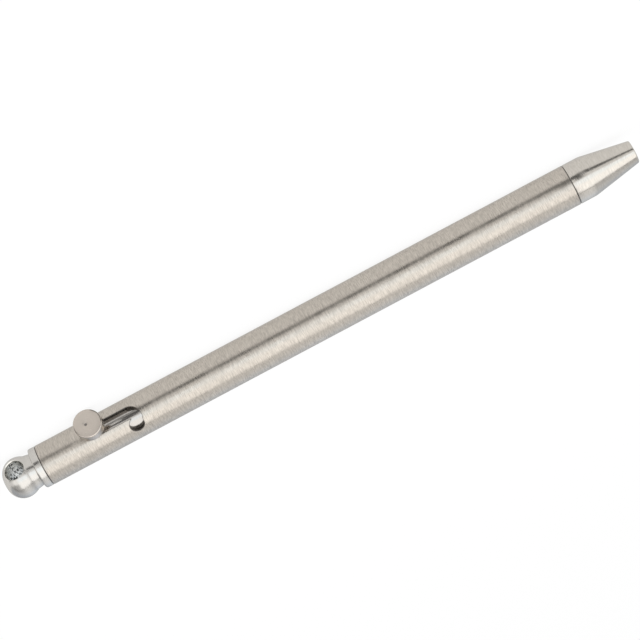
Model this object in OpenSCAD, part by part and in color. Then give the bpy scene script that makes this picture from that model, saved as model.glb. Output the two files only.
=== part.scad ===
// Keychain ballpoint pen with a bolt that slides and hooks in a J-shaped slot.
// It lies as it comes to rest on a table, on its barrel and on the rim of its bolt knob,
// along X with its tip towards -X and the knob towards -Y.
// Each piece is drawn along +X from the pen's tail end, with the bolt straight up,
// and then laid down.

/* [Barrel] */
// Length of the barrel tube
barrel_len = 83.1; // [80:0.1:100]
// Outer diameter of the barrel tube
barrel_d = 6.0; // [5.8:0.1:7]
// Bore of the barrel tube
barrel_bore_d = 4.5; // [4.3:0.1:4.9]
// Chamfer round each end of the barrel and on the faces that meet it
seam_chamfer = 0.12; // [0.05:0.01:0.2]

/* [J-slot] */
// Distance from the barrel's tail end to the bolt at rest
bolt_station = 8.6; // [8:0.1:12]
// Straight travel of the bolt before it starts to turn
bolt_travel = 5.2; // [4:0.1:6]
// Angle that the bolt turns to reach its locking pocket
lock_turn = 40; // [36:1:45]
// Width of the slot
slot_w = 1.8; // [1.6:0.05:2.1]
// Radius of the hook's outer edge
hook_r = 1.75; // [1.6:0.05:1.8]
// Radius of the locking pocket
pocket_r = 1.05; // [0.95:0.05:1.1]
// Distance that the pocket's centre lies ahead of the end of the straight travel
pocket_lead = 0.5; // [0.4:0.05:0.6]
// Distance that the beak between the run and the pocket reaches past that end
beak_reach = 0.05; // [0.05:0.05:0.2]

/* [Bolt knob] */
// Diameter of the knob's head
knob_d = 4.15; // [3.2:0.05:5]
// Thickness of the knob's head
knob_head_t = 1.8; // [1:0.1:2.2]
// Rounding of the head's rims
knob_round = 0.3; // [0.1:0.05:0.45]
// Height of the knob's face over the pen's axis
knob_face_r = 6.9; // [6.2:0.1:8]
// Diameter of the neck under the head
knob_neck_d = 2.6; // [2.4:0.1:3]
// Diameter of the small turning mark in the middle of the face
knob_mark_d = 0.5; // [0.2:0.1:1]
// Depth of that mark
knob_mark_depth = 0.08; // [0.04:0.01:0.15]

/* [Plunger] */
// Length of the plunger behind the bolt
plunger_tail = 3.0; // [2:0.1:3.6]
// Depth of the bolt's threaded hole below the plunger's surface
bolt_hole_depth = 2.6; // [2:0.1:3]
// Diameter of the hollow in the plunger's front face that centres the refill
refill_seat_d = 2.6; // [2.5:0.05:3]
// Depth of that hollow
refill_seat_depth = 1.2; // [0.8:0.1:2]

/* [Tail cap] */
// Largest diameter of the ball
ball_d = 5.95; // [5.4:0.05:6.4]
// Radius that rounds the ball's end into its widest ring
ball_end_round = 2.4; // [2.2:0.05:2.7]
// Radius of the ball's side towards the barrel
ball_side_round = 2.8; // [2.6:0.1:3.2]
// Length of the ball and neck, up to the flange
ball_len = 4.9; // [4.6:0.05:5.6]
// Diameter of the neck where it meets the flange
neck_d = 4.75; // [4.2:0.05:5]
// Distance from the flange to where the neck leaves the ball
neck_len = 1.05; // [0.6:0.05:1.3]
// Thickness of the flange
flange_t = 1.15; // [0.7:0.05:1.5]
// Diameter of the flange
flange_d = 6.0; // [5.8:0.1:6.6]
// Diameter of the key ring hole
keyhole_d = 2.8; // [2.4:0.1:3]
// Distance from the tail end to the middle of the key ring hole
keyhole_station = 2.2; // [2:0.05:2.3]
// Angle of the key ring hole round the pen, from the bolt
keyhole_turn = 14; // [0:1:45]
// Depth of the countersinks in the key ring hole's mouths
keyhole_chamfer = 0.12; // [0.05:0.01:0.2]
// Length of the tail cap's spigot in the barrel
tail_spigot_len = 4.0; // [3:0.1:5]

/* [Nose cone] */
// Length of the nose cone that shows
nose_len = 9.85; // [9:0.05:12]
// Length of the straight part next to the barrel
nose_straight = 2.5; // [1.5:0.1:3]
// Radius of the soft shoulder between the straight part and the cone
nose_shoulder_r = 3; // [2:0.5:8]
// Diameter of the nose cone's front end
nose_end_d = 3.42; // [3:0.02:3.8]
// Rounding of the front rim
nose_end_round = 0.2; // [0.1:0.05:0.3]
// Length of the nose cone's spigot in the barrel
nose_spigot_len = 4.5; // [3.5:0.1:6]
// Bore that holds the return spring
spring_bore_d = 3.6; // [3.5:0.05:3.8]
// Distance from the front end to the face that the spring pushes on
spring_seat_depth = 5.0; // [4.6:0.1:6]
// Bore that guides the front of the refill's tube
guide_bore_d = 2.6; // [2.5:0.05:2.8]
// Length of the hole that the writing tip comes out of
tip_hole_len = 2.0; // [1.5:0.1:2.2]

/* [Refill] */
// Overall length of the refill
refill_len = 67.0; // [60:0.1:67]
// Diameter of the refill's tube
refill_d = 2.35; // [2.3:0.01:2.4]
// Bore of the refill's tube
refill_bore_d = 1.8; // [1.6:0.05:1.9]
// Distance from the nose's front end back to the writing ball at rest
retract_depth = 2.4; // [1.5:0.1:3]
// Length of the writing tip that shows in front of the tube
tip_len = 6.2; // [6:0.1:8]
// Length of the tip's cone
tip_cone_len = 2.6; // [2:0.1:3]
// Diameter of the tip's shank
tip_shank_d = 1.6; // [1.5:0.05:1.7]
// Length of the tip's plug inside the tube
tip_plug_len = 2.5; // [2:0.1:4]
// Diameter of the ink channel through the tip
ink_channel_d = 0.4; // [0.3:0.05:0.5]
// Diameter of the writing ball
writing_ball_d = 0.7; // [0.5:0.05:0.8]
// Length that the writing ball stands out of its socket
writing_ball_reach = 0.22; // [0.15:0.01:0.25]
// Wall of the socket's lip
socket_lip = 0.08; // [0.05:0.01:0.12]
// Free length of tube behind the ink
ink_free_len = 6; // [2:1:20]

/* [Return spring] */
// Diameter of the spring's wire
wire_d = 0.3; // [0.25:0.01:0.35]
// Outer diameter of the spring
spring_d = 3.3; // [3.2:0.05:3.4]
// Number of the spring's turns
spring_turns = 10; // [6:1:12]
// Length of the spring between its two seats at rest
spring_len = 11.8; // [10:0.1:14]
// Distance across the two ears pinched in the refill's tube
ears_w = 3.3; // [3.1:0.05:3.4]
// Length of the ears along the tube
ears_len = 1.4; // [1:0.1:2]
// Thickness of the ears
ears_t = 0.7; // [0.5:0.05:0.9]

/* [Fits] */
// Radial clearance of the plunger in the barrel
sliding_gap = 0.05; // [0.03:0.01:0.08]
// Radial clearance of the writing tip in its hole
tip_gap = 0.1; // [0.06:0.01:0.15]
// Clearance of the bolt's stem on each side of the slot
stem_gap = 0.075; // [0.05:0.005:0.1]
// Clearance between the knob's neck and the barrel
neck_gap = 0.08; // [0.05:0.01:0.15]
// Radial clearance of threaded and pressed pieces in their holes
seat_gap = 0.02; // [0.01:0.005:0.04]
// Clearance of the writing ball in its socket
socket_gap = 0.01; // [0.005:0.001:0.02]
// Chamfer that leads spigots and the plunger into their bores
lead_in = 0.3; // [0.1:0.05:0.4]

/* [Hidden] */
$fn = 96;
over = 1;
steel = "#B8B2A8";
bright_steel = "#C8C4BC";
spring_steel = "#8E8C88";
tip_brass = "#B99A5B";
carbide = "#6E6E70";
ink_black = "#15151A";

barrel_r = barrel_d / 2;
barrel_bore_r = barrel_bore_d / 2;
slot_r = slot_w / 2;
stem_r = slot_r - stem_gap;
plunger_r = barrel_bore_r - sliding_gap;
spigot_r = barrel_bore_r - seat_gap;
tip_shank_r = tip_shank_d / 2;
writing_ball_r = writing_ball_d / 2;
wire_r = wire_d / 2;

// Stations along the pen, from its tail end
barrel_x0 = ball_len + flange_t;
barrel_x1 = barrel_x0 + barrel_len;
pen_len = barrel_x1 + nose_len;
bolt_x = barrel_x0 + bolt_station;
turn_x = bolt_x + bolt_travel;
refill_x1 = pen_len - retract_depth;
refill_x0 = refill_x1 - refill_len;
tube_x1 = refill_x1 - tip_len;
plunger_x0 = bolt_x - plunger_tail;
plunger_x1 = refill_x0 - seat_gap + refill_seat_depth;
spring_seat_x = pen_len - spring_seat_depth;
ears_x1 = spring_seat_x - spring_len;

// The pen leans until the rounded rim of the knob's face touches the surface
rest_r = max(barrel_d, flange_d, ball_d) / 2;
rim_out = knob_face_r - knob_round;
rim_across = knob_d / 2 - knob_round;
rim_reach = norm([rim_out, rim_across]);
rest_lean = asin((rest_r - knob_round) / rim_reach) - atan(rim_across / rim_out);
knob_side_y = rim_out * cos(rest_lean) + rim_across * sin(rest_lean) + knob_round;

// The hook's edge leaves the run's outer side, this angle inside it
hook_inset = 0.4;
hook_turn = asin(hook_r / barrel_r) - asin(slot_r / barrel_r) + hook_inset;

// Slope of the nose, from the shoulder's corner to the front rim
nose_drop = barrel_r - nose_end_d / 2;
nose_slope = atan(nose_drop / (nose_len - nose_straight));
shoulder_tangent = nose_shoulder_r * tan(nose_slope / 2);

// Lays a piece down in the part's own frame, with the origin below the middle of its box
module placed() {
    translate([0, (knob_side_y - rest_r) / 2, rest_r])
        rotate([90 + rest_lean, 0, 0]) rotate([0, 0, 180])
            translate([-pen_len / 2, 0, 0]) children();
}

// Turns a piece drawn along Z so that it runs along X
module along_x(x = 0) {
    translate([x, 0, 0]) rotate([0, 90, 0]) children();
}

// A round bar or hole with a radius of r, between two stations
module bar_x(r, x0, x1) {
    along_x(x0) cylinder(h = x1 - x0, r = r);
}

// A ring of tube with chamfered ends, between two stations
module chamfered_bar_x(r, x0, x1, c0, c1) {
    along_x() rotate_extrude() polygon([
        [0, x0], [r - c0, x0], [r, x0 + c0], [r, x1 - c1], [r - c1, x1], [0, x1]
    ]);
}

// A round cutter that points out from the pen's axis, turned round the pen by an angle
module radial_cutter(x, r, angle = 0) {
    translate([x, 0, 0]) rotate([angle, 0, 0]) cylinder(h = barrel_d, r = r);
}

// The straight run, the round hook, and the locking pocket behind its beak
module j_slot() {
    rear_x = bolt_x - stem_gap;
    radial_cutter(rear_x, slot_r);
    translate([rear_x, -slot_r, 0]) cube([turn_x - rear_x, slot_w, barrel_d]);
    radial_cutter(turn_x, slot_r);
    intersection() {
        radial_cutter(turn_x, hook_r, hook_turn);
        union() {
            translate([turn_x, -slot_r, -barrel_d]) cube(2 * barrel_d);
            translate([turn_x + beak_reach, -barrel_d, -barrel_d]) cube(2 * barrel_d);
        }
    }
    radial_cutter(turn_x + pocket_lead, pocket_r, lock_turn);
}

module barrel() {
    color(steel) placed() difference() {
        chamfered_bar_x(barrel_r, barrel_x0, barrel_x1, seam_chamfer, seam_chamfer);
        bar_x(barrel_bore_r, barrel_x0 - over, barrel_x1 + over);
        j_slot();
    }
}

// Outside of the nose: a straight ring, a soft shoulder, a cone and a rounded rim
module nose_profile() {
    corner = barrel_x1 + nose_straight;
    rim_r = nose_end_d / 2 - nose_end_round;
    rim_steps = 6;
    shoulder_steps = 6;
    polygon([
        [0, barrel_x1],
        [barrel_r - seam_chamfer, barrel_x1],
        [barrel_r, barrel_x1 + seam_chamfer],
        for (i = [0 : shoulder_steps])
            let (a = nose_slope * i / shoulder_steps)
            [barrel_r - nose_shoulder_r * (1 - cos(a)),
             corner - shoulder_tangent + nose_shoulder_r * sin(a)],
        for (i = [0 : rim_steps])
            let (a = nose_slope + (90 - nose_slope) * i / rim_steps)
            [rim_r + nose_end_round * cos(a), pen_len - nose_end_round * (1 - sin(a))],
        [0, pen_len]
    ]);
}

module nose_cone() {
    guide_x1 = pen_len - tip_hole_len;
    spigot_x0 = barrel_x1 - nose_spigot_len;
    color(bright_steel) placed() difference() {
        union() {
            along_x() rotate_extrude() nose_profile();
            chamfered_bar_x(spigot_r, spigot_x0, barrel_x1 + seam_chamfer, lead_in, 0);
        }
        bar_x(spring_bore_d / 2, spigot_x0 - over, spring_seat_x);
        bar_x(guide_bore_d / 2, spring_seat_x - over, guide_x1);
        bar_x(tip_shank_r + tip_gap, guide_x1 - over, pen_len + over);
    }
}

// Half outline of the ball and neck, with radius across and station upwards
module ball_profile() {
    ball_r = ball_d / 2;
    ball_x = ball_end_round;
    neck_x = ball_len - neck_len;
    side_centre_r = ball_r - ball_side_round;
    neck_start_r = side_centre_r + sqrt(pow(ball_side_round, 2) - pow(neck_x - ball_x, 2));
    end_flat_r = ball_r - ball_end_round;
    square([end_flat_r, ball_x]);
    intersection() {
        translate([end_flat_r, ball_x]) circle(r = ball_end_round);
        square([ball_r + over, ball_x]);
    }
    intersection() {
        translate([side_centre_r, ball_x]) circle(r = ball_side_round);
        translate([0, ball_x]) square([ball_r + over, neck_x - ball_x]);
    }
    polygon([[0, neck_x], [neck_start_r, neck_x], [neck_d / 2, ball_len], [0, ball_len]]);
}

// Radius of the ball at a station
function ball_radius_at(x) =
    x < ball_end_round
    ? ball_d / 2 - ball_end_round + sqrt(pow(ball_end_round, 2) - pow(ball_end_round - x, 2))
    : ball_d / 2 - ball_side_round + sqrt(pow(ball_side_round, 2) - pow(x - ball_end_round, 2));

// The key ring hole, with countersinks tilted to follow its rims on the ball
module keyhole_cuts() {
    keyhole_r = keyhole_d / 2;
    tail_rim = ball_radius_at(keyhole_station - keyhole_r);
    neck_rim = ball_radius_at(keyhole_station + keyhole_r);
    rim_tilt = atan((neck_rim - tail_rim) / keyhole_d);
    rotate([-keyhole_turn, 0, 0]) translate([keyhole_station, 0, 0]) {
        cylinder(h = 2 * ball_d, r = keyhole_r, center = true);
        for (side = [0, 1])
            mirror([0, 0, side]) translate([0, 0, (tail_rim + neck_rim) / 2 - keyhole_chamfer])
                rotate([0, -rim_tilt, 0]) cylinder(h = over, r1 = keyhole_r, r2 = keyhole_r + over);
    }
}

module tail_cap() {
    spigot_x1 = barrel_x0 + tail_spigot_len;
    color(bright_steel) placed() union() {
        difference() {
            along_x() rotate_extrude() ball_profile();
            keyhole_cuts();
        }
        chamfered_bar_x(flange_d / 2, ball_len, barrel_x0, seam_chamfer, seam_chamfer);
        chamfered_bar_x(spigot_r, barrel_x0 - seam_chamfer, spigot_x1, 0, lead_in);
    }
}

module plunger() {
    color(steel) placed() difference() {
        chamfered_bar_x(plunger_r, plunger_x0, plunger_x1, lead_in, lead_in);
        translate([bolt_x, 0, plunger_r - bolt_hole_depth])
            cylinder(h = bolt_hole_depth + over, r = stem_r + seat_gap);
        bar_x(refill_seat_d / 2, plunger_x1 - refill_seat_depth, plunger_x1 + over);
    }
}

// Half outline of the knob: stem, neck and a head with two rounded rims
module knob_profile() {
    stem_z0 = plunger_r - bolt_hole_depth + seat_gap;
    neck_z0 = barrel_r + neck_gap;
    head_z0 = knob_face_r - knob_head_t;
    head_r = knob_d / 2;
    translate([0, stem_z0]) square([stem_r, neck_z0 - stem_z0 + seat_gap]);
    translate([0, neck_z0]) square([knob_neck_d / 2, head_z0 - neck_z0 + knob_round]);
    translate([0, head_z0]) square([head_r - knob_round, knob_head_t]);
    translate([0, head_z0 + knob_round]) square([head_r, knob_head_t - 2 * knob_round]);
    for (z = [head_z0 + knob_round, knob_face_r - knob_round])
        translate([head_r - knob_round, z]) circle(r = knob_round);
}

module bolt_knob() {
    color(bright_steel) placed() translate([bolt_x, 0, 0]) difference() {
        rotate_extrude() knob_profile();
        translate([0, 0, knob_face_r - knob_mark_depth])
            cylinder(h = over, r1 = 0, r2 = over * knob_mark_d / 2 / knob_mark_depth);
    }
}

// The tube, with two ears pinched out of it to carry the spring
module refill_tube() {
    color(steel) placed() difference() {
        union() {
            bar_x(refill_d / 2, refill_x0, tube_x1);
            translate([ears_x1 - ears_len, -ears_w / 2, -ears_t / 2])
                cube([ears_len, ears_w, ears_t]);
        }
        bar_x(refill_bore_d / 2, refill_x0 - over, tube_x1 + over);
    }
}

// Plug, shank and cone, open at the front for the writing ball
module refill_tip() {
    ball_x = refill_x1 - writing_ball_r;
    mouth_x = refill_x1 - writing_ball_reach;
    socket_r = writing_ball_r + socket_gap;
    mouth_r = sqrt(pow(socket_r, 2) - pow(mouth_x - ball_x, 2)) + socket_lip;
    plug_r = refill_bore_d / 2 - seat_gap;
    cone_x0 = refill_x1 - tip_cone_len;
    color(tip_brass) placed() difference() {
        along_x() rotate_extrude() polygon([
            [0, tube_x1 - tip_plug_len],
            [plug_r, tube_x1 - tip_plug_len],
            [plug_r, tube_x1],
            [tip_shank_r, tube_x1],
            [tip_shank_r, cone_x0],
            [mouth_r, mouth_x],
            [0, mouth_x]
        ]);
        translate([ball_x, 0, 0]) sphere(r = socket_r);
        bar_x(ink_channel_d / 2, tube_x1 - tip_plug_len - over, ball_x);
    }
}

module writing_ball() {
    color(carbide) placed()
        translate([refill_x1 - writing_ball_r, 0, 0]) sphere(r = writing_ball_r);
}

module ink_column() {
    ink_r = refill_bore_d / 2 - seat_gap;
    color(ink_black) placed()
        bar_x(ink_r, refill_x0 + ink_free_len, tube_x1 - tip_plug_len - seat_gap);
}

// Centre line of the spring's wire, and the least gap between neighbouring turns
rings_per_turn = 8;
wire_sides = 6;
coil_r = spring_d / 2 - wire_r;
coil_len = spring_len - wire_d - 2 * seat_gap;
coil_pitch = coil_len / spring_turns;
coil_steps = spring_turns * rings_per_turn;
function coil_point(i) =
    let (a = 360 * i / rings_per_turn)
    [ears_x1 + seat_gap + wire_r + coil_len * i / coil_steps, coil_r * cos(a), coil_r * sin(a)];
coil = [for (i = [0 : coil_steps]) coil_point(i)];
self_gap = min([for (i = [0 : coil_steps - rings_per_turn])
    norm(coil[i + rings_per_turn] - coil[i])]) - wire_d;
echo(least_gap_between_spring_turns = self_gap);

// One ring of the wire: across the coil's radius, and square to that and the wire's run
function wire_ring(i) =
    let (a = 360 * i / rings_per_turn,
         lean = atan(coil_pitch / (2 * PI * coil_r)),
         out = [0, cos(a), sin(a)],
         side = [cos(lean), sin(lean) * sin(a), -sin(lean) * cos(a)])
    [for (k = [0 : wire_sides - 1])
        let (b = 360 * k / wire_sides)
        coil[i] + wire_r * (cos(b) * out + sin(b) * side)];

module return_spring() {
    points = [for (i = [0 : coil_steps]) each wire_ring(i)];
    last = coil_steps * wire_sides;
    faces = concat(
        [[for (k = [0 : wire_sides - 1]) k]],
        [for (i = [0 : coil_steps - 1], k = [0 : wire_sides - 1], half = [0, 1])
            let (a = i * wire_sides + k,
                 b = i * wire_sides + (k + 1) % wire_sides)
            half == 0 ? [a, a + wire_sides, b] : [b, a + wire_sides, b + wire_sides]],
        [[for (k = [wire_sides - 1 : -1 : 0]) last + k]]
    );
    color(spring_steel) placed() polyhedron(points, faces);
}

barrel();
nose_cone();
tail_cap();
plunger();
bolt_knob();
return_spring();
refill_tube();
refill_tip();
writing_ball();
ink_column();
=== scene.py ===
"""Dresses the keychain ballpoint pen: smooth turned pieces, brushed and polished steel,
and a plain white table under a soft light.

Every piece is drawn in the pen's own frame, in millimetres: x runs from the tail end
towards the writing tip, z points along the bolt and the pen's axis is y = z = 0.
It is then laid down in the row frame, where the pen rests on its barrel and its knob.
"""
from math import (acos, asin, atan, atan2, cos, degrees, exp, hypot, pi, radians, sin,
                  sqrt, tan)
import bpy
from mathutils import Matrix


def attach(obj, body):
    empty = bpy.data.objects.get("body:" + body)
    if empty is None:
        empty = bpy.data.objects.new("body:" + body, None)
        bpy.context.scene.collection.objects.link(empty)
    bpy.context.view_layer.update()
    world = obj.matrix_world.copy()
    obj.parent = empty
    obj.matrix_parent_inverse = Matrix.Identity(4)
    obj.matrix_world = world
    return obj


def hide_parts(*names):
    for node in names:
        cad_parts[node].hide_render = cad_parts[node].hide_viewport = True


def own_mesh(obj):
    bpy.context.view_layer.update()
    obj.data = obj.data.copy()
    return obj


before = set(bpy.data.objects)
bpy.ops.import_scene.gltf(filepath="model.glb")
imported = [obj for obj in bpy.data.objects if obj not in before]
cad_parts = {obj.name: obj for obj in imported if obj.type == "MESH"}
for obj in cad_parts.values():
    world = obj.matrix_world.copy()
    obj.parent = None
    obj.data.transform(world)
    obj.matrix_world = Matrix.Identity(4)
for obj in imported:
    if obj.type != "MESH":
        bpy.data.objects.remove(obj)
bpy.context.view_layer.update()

from types import SimpleNamespace

import bmesh
import bpy
from bpy.props import FloatProperty, FloatVectorProperty, PointerProperty
from mathutils import Matrix, Vector

bl_info = {
    "name": "Keychain Ballpoint Pen",
    "version": (1, 0, 0),
    "blender": (4, 5, 0),
    "location": "View3D > Sidebar > Pen",
    "description": "Builds a steel bolt-action pocket pen piece by piece",
    "category": "Object",
}

MM = 0.001
PEN_LEN = 99.0
AXIS_Y = 2.042961247
AXIS_Z = 3.0
LEAN = radians(98.21639)

# From the pen's own frame in millimetres to the row frame in metres
PEN_TO_ROW = (Matrix.Translation((0, AXIS_Y * MM, AXIS_Z * MM))
              @ Matrix.Rotation(LEAN, 4, "X")
              @ Matrix.Rotation(pi, 4, "Z")
              @ Matrix.Diagonal((MM, MM, MM, 1))
              @ Matrix.Translation((-PEN_LEN / 2, 0, 0)))

# Places inside the pen that several pieces share, in millimetres from its tail end
SPRING_X0, SPRING_X1 = 82.2, 94.0
TIP_STEP_X = 97.0
WRITING_BALL_X, WRITING_BALL_R = 96.25, 0.35

# Barrel: where its slot is, and how finely the sheet is cut
HOOK_OFFSET = radians(0.4)
POCKET_TURN = radians(40)
SLOT_MIDDLE = radians(17)
RIM_DROP = 0.12
RUN_POINTS = 24
STRIPS = 180

# Tail cap: the ball has one radius along the pen for each half, and then its neck
BALL_R, BALL_END, BALL_SIDE = 2.975, 2.4, 2.8
NECK_X, NECK_R, ROOT_X = 3.85, 2.375, 4.9
FLANGE_RIM = 0.26
HOLE_X = 2.2
HOLE_TURN = radians(-14)
HOLE_MOUTH = 0.17

# Knob: its head's height and rim, and the dimple that the lathe's centre left
HEAD_HEIGHT, HEAD_RIM = 1.8, 0.22
DIMPLE_R, DIMPLE_SHIFT = 0.2, Vector((0, -0.06, 0.26))

# Finishes, and the painted shade in small pits
SHARP_ANGLE = radians(34)
EDGE_TINT = (0.8, 0.8, 0.8, 1)
SCRATCH_DEPTH = 0.25
PIT_SHADE = 0.04

# Room, in metres: the ceiling's height, the softboxes' distance and reach along the
# pen, and how far the camera looks past the pen's middle, in millimetres
CEILING = 0.62
BOX_DISTANCE = 0.75
BOX_X = (-0.62, 0.36)
VIEW_SHIFT = (0.39 / 7.18, 1.3 / 7.18)


# Sizes and colours

def length(name, millimetres, about):
    """A size that a user can change, kept in metres."""
    return FloatProperty(name=name, description=about, default=millimetres * MM,
                         min=0, precision=5, subtype="DISTANCE", unit="LENGTH")


def colour(name, value, about):
    return FloatVectorProperty(name=name, description=about, default=value,
                               min=0, max=1, subtype="COLOR")


def share(name, value, about):
    return FloatProperty(name=name, description=about, default=value,
                         min=0, max=1, subtype="FACTOR")


def angle(name, value, about):
    return FloatProperty(name=name, description=about, default=radians(value),
                         subtype="ANGLE")


class PenSizes(bpy.types.PropertyGroup):
    """Sizes of the pen's pieces. Stations are distances from the pen's tail end."""
    barrel_x0: length("Barrel start", 6.05, "Station of the barrel's tail end")
    barrel_x1: length("Barrel end", 89.15, "Station of the barrel's front end")
    barrel_r: length("Barrel radius", 3.0, "Outer radius of the barrel")
    bore_r: length("Bore radius", 2.25, "Radius of the barrel's bore")
    seam: length("Joint chamfer", 0.12, "Chamfer beside each joint line")
    slot_w: length("Slot width", 1.8, "Width of the slot's straight run")
    slot_x0: length("Slot start", 14.575, "Centre of the slot's rear end")
    turn_x: length("Slot turn", 19.85, "Centre of the slot's front end")
    hook_r: length("Hook radius", 1.75, "Radius of the hook's outer edge")
    pocket_r: length("Pocket radius", 1.05, "Radius of the locking pocket")
    pocket_x: length("Pocket centre", 20.35, "Locking pocket's centre")
    beak_x: length("Beak", 19.9, "Tip of the beak beside the pocket")
    beak_round: length("Beak rounding", 0.07, "Rounding of the beak's two corners")
    rim_round: length("Slot rim rounding", 0.07, "Rounding of the slot's outer rim")
    bolt_x: length("Bolt station", 14.65, "Station of the bolt's axis at rest")
    knob_r: length("Knob radius", 2.064, "Radius of the knob's head")
    knob_top: length("Knob height", 6.9, "Height of the knob's face over the axis")
    keyhole_r: length("Key ring hole radius", 1.4, "Radius of the key ring hole")
    thread_pitch: length("Thread pitch", 0.5, "Pitch of the nose cone's thread")
    wire_r: length("Spring wire radius", 0.15, "Radius of the spring's wire")


class PenColours(bpy.types.PropertyGroup):
    """Colours and finishes of the pen's pieces."""
    barrel: colour("Barrel steel", (0.505, 0.462, 0.408), "Brushed steel of the barrel")
    nose: colour("Nose steel", (0.575, 0.54, 0.49), "Turned steel of the nose cone")
    knob: colour("Knob steel", (0.54, 0.485, 0.43), "Matt turned steel of the bolt knob")
    ball: colour("Tail steel", (0.575, 0.552, 0.518), "Polished steel of the tail cap")
    plunger: colour("Plunger steel", (0.49, 0.465, 0.435), "Turned steel of the plunger")
    hole: colour("Key ring hole steel", (0.80, 0.76, 0.70), "Drilled wall of the hole")
    # Painted shade: bores, the slot's walls and the knob's dimple get this dark steel in
    # place of the shade that falls in them.
    bore: colour("Painted shade bore steel", (0.20, 0.185, 0.17), "Steel of bores and drilled walls")
    edge: colour("Worn edge steel", (0.66, 0.64, 0.60), "Steel that shines on worn edges")
    # Painted shade: this dark steel on the slot's rounded rim stands in for the shadow
    # along the slot's edge, and on the barrel's end chamfers it draws dark joint lines.
    slot_shade_and_dark_joints: colour("Slot shade and joint steel", (0.27, 0.25, 0.23), "Shaded edge of the slot")
    refill: colour("Refill steel", (0.40, 0.39, 0.375), "Drawn tube of the refill")
    spring: colour("Spring steel", (0.36, 0.355, 0.345), "Drawn spring wire")
    brass: colour("Tip brass", (0.62, 0.46, 0.22), "Brass of the writing tip")
    carbide: colour("Ball carbide", (0.18, 0.18, 0.19), "Carbide of the writing ball")
    ink: colour("Ink", (0.012, 0.012, 0.02), "Paste ink")
    barrel_rough: share("Barrel roughness", 0.29, "Roughness of the brushed barrel")
    nose_rough: share("Nose roughness", 0.19, "Roughness of the turned nose cone")
    knob_rough: share("Knob roughness", 0.36, "Roughness of the knob")
    ball_rough: share("Tail roughness", 0.22, "Roughness of the polished tail cap")


class PenStage(bpy.types.PropertyGroup):
    """Table, lights and camera."""
    view_up: angle("Camera elevation", 11.284, "Camera's height over the horizon")
    view_side: angle("Camera side", 0.64, "Turn of the camera towards the tip")
    view_roll: angle("Pen's tilt in the picture", 28.017, "Pen's angle in the picture")
    view_dist: length("Camera distance", 425.0, "Camera's distance from the pen's middle")
    lens: FloatProperty(name="Lens", default=171.7,
                        description="Focal length in millimetres")
    softbox_glow: FloatProperty(name="Softbox brightness", default=0.62, min=0,
                                description="What the softbox adds to the white room")
    table_shade: share("Table shadow", 0.12, "Share of the table's white that shadow dims")


# Bmesh helpers

def sizes_and_colours(context):
    """The pen's sizes in millimetres, and its colours."""
    sizes = context.scene.pen_sizes
    kinds = sizes.bl_rna.properties
    lengths = {key: getattr(sizes, key) / MM for key in kinds.keys()
               if getattr(kinds[key], "unit", "") == "LENGTH"}
    return SimpleNamespace(**lengths), context.scene.pen_colours


def arc(cx, cr, radius, a0, a1, steps):
    """Points of an arc in a half outline, as (station, radius) pairs, angles in degrees.
    Angle 0 points outwards from the axis and 90 points along +x."""
    out = []
    for i in range(steps + 1):
        a = radians(a0 + (a1 - a0) * i / steps)
        out.append((cx + radius * sin(a), cr + radius * cos(a)))
    return out


def lathed(outline, steps=160, closed=False):
    """A bmesh turned from a half outline of (station, radius) points."""
    bm = bmesh.new()
    verts = [bm.verts.new((x, 0, r)) for x, r in outline]
    edges = [bm.edges.new(pair) for pair in zip(verts, verts[1:])]
    if closed:
        edges.append(bm.edges.new((verts[-1], verts[0])))
    bmesh.ops.spin(bm, geom=verts + edges, cent=(0, 0, 0), axis=(1, 0, 0),
                   angle=2 * pi, steps=steps, use_merge=True)
    clean(bm)
    return bm


def coil(bm, section, stretches, steps):
    """Winds a closed section of (station, radius) points round the x axis.
    Each stretch of the coil is its number of turns and its pitch."""
    ring = [bm.verts.new((x, 0, r)) for x, r in section]
    edges = [bm.edges.new((a, b)) for a, b in zip(ring, ring[1:] + ring[:1])]
    bm.faces.new(ring)
    geom = ring + edges
    for turns, pitch in stretches:
        geom = bmesh.ops.spin(bm, geom=geom, cent=(0, 0, 0), axis=(1, 0, 0),
                              dvec=(pitch / steps, 0, 0), angle=2 * pi * turns,
                              steps=round(turns * steps))["geom_last"]
    bm.faces.new([v for v in geom if isinstance(v, bmesh.types.BMVert)])


def outwards(bm):
    """Turns every face of one closed shape outwards."""
    bmesh.ops.recalc_face_normals(bm, faces=bm.faces)
    if bm.calc_volume(signed=True) < 0:
        bmesh.ops.reverse_faces(bm, faces=bm.faces)


def clean(bm, gap=1e-4):
    """Merges doubles, closes poles and turns every face outwards."""
    bmesh.ops.remove_doubles(bm, verts=bm.verts, dist=gap)
    outwards(bm)


def bevelled(bm, edges, offset, segments):
    """Rounds edges off and returns the new faces."""
    return bmesh.ops.bevel(bm, geom=edges, offset=offset, segments=segments,
                           profile=0.5, affect="EDGES", material=-1)["faces"]


def mesh_of(bm, name):
    """A new mesh made from a bmesh, which is then freed."""
    mesh = bpy.data.meshes.new(name)
    bm.to_mesh(mesh)
    bm.free()
    return mesh


def placed(name, data):
    """A new object in the scene."""
    item = bpy.data.objects.new(name, data)
    bpy.context.scene.collection.objects.link(item)
    return item


def merged(whole, extra):
    """Adds one closed bmesh to another."""
    mesh = mesh_of(extra, "part")
    whole.from_mesh(mesh)
    bpy.data.meshes.remove(mesh)
    return whole


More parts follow.
